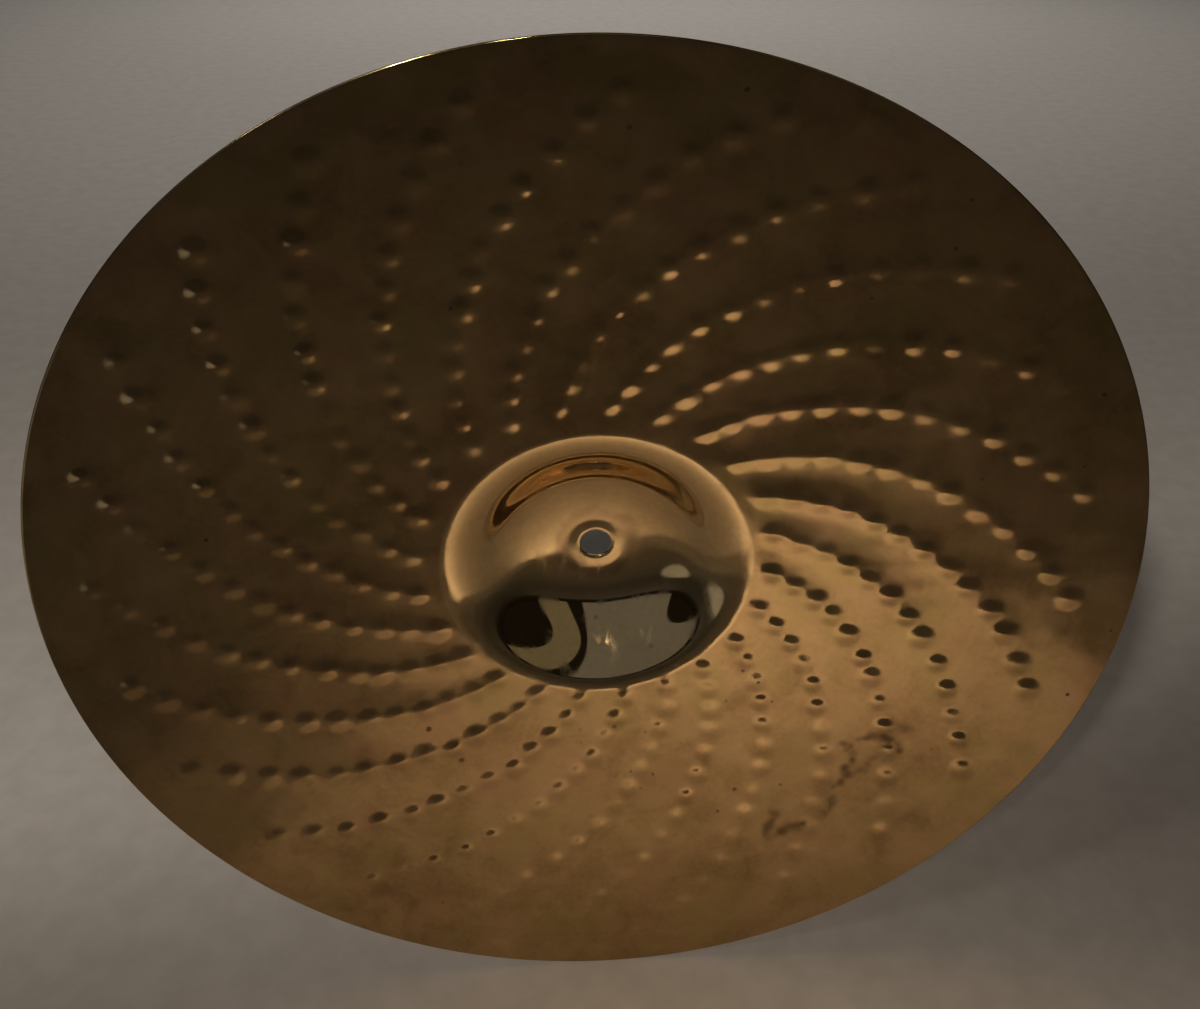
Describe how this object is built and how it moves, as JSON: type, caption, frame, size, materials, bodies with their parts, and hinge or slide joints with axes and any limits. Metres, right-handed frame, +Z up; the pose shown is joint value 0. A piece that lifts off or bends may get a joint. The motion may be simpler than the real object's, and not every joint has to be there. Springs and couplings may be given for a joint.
{
  "type": "crash cymbal",
  "caption": "Round bronze crash cymbal with a domed bell, a shallow hammered bow, a plain thin rim and a central hole for a stand rod.",
  "frame": {"origin": "centre of the mounting hole, in the plane of the flat seat round it on the hollow underside, where a stand's felt bears", "axes": "+Y along the cymbal's axis, from the hollow underside out through the bell's top; +Z up, with the cymbal standing on its rim; +X to the right when the underside is looked at"},
  "size_m": [0.4064, 0.0453, 0.4064],
  "materials": {
    "bronze": "lathed and hammered bronze with an aged, mottled tarnish on the bow and a bright polished bell"
  },
  "bodies": {
    "root": {"cymbal": "bronze"}
  },
  "joints": []
}
